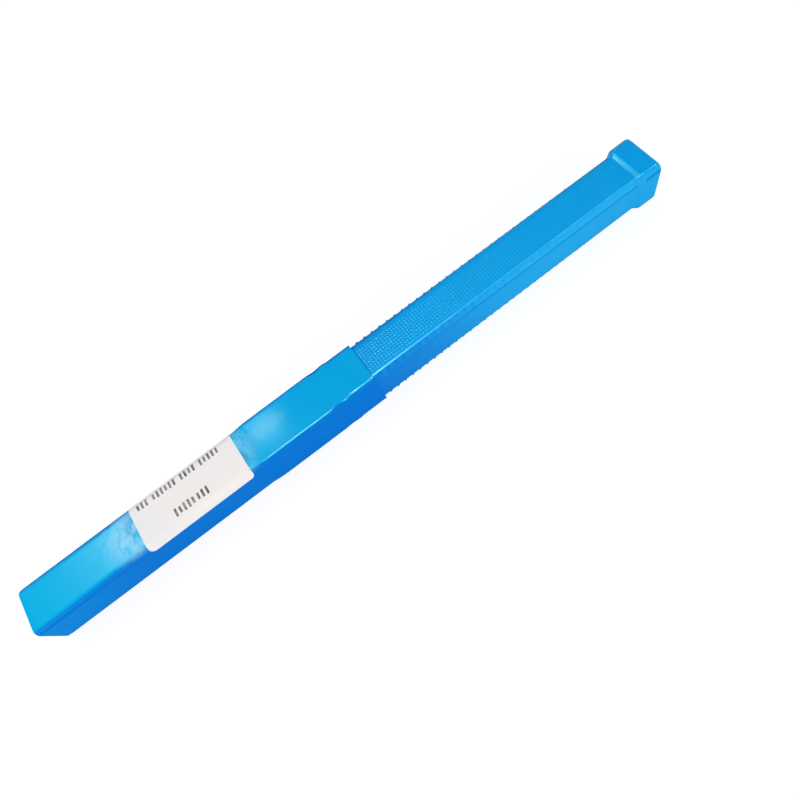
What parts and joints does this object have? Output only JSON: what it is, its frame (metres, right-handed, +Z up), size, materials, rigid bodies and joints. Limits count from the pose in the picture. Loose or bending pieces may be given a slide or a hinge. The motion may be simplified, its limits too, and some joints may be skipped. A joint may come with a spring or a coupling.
{
  "type": "telescopic square packing tube with square push broach",
  "caption": "Telescopic square plastic packing tube with a ratcheted sliding half, a flared head and a wrapped label, holding a steel square push broach.",
  "frame": {"origin": "on the resting surface, under the middle of the closed tube", "axes": "+X along the tube from the closed end of the base tube to the head of the sliding tube, +Z up, +Y towards the back of the label"},
  "size_m": [0.248, 0.0172, 0.0172],
  "materials": {
    "base_tube": "gloss",
    "sliding_tube": "gloss",
    "label": "matt",
    "square_push_broach": "ground"
  },
  "bodies": {
    "base": {"base_tube": "base_tube", "label": "label", "square_push_broach": "square_push_broach"},
    "cover": {"sliding_tube": "sliding_tube"}
  },
  "joints": [
    {"name": "cover_slide", "type": "slide", "parent": "base", "child": "cover", "axis": [1, 0, 0], "range_m": [0, 0.15]}
  ]
}
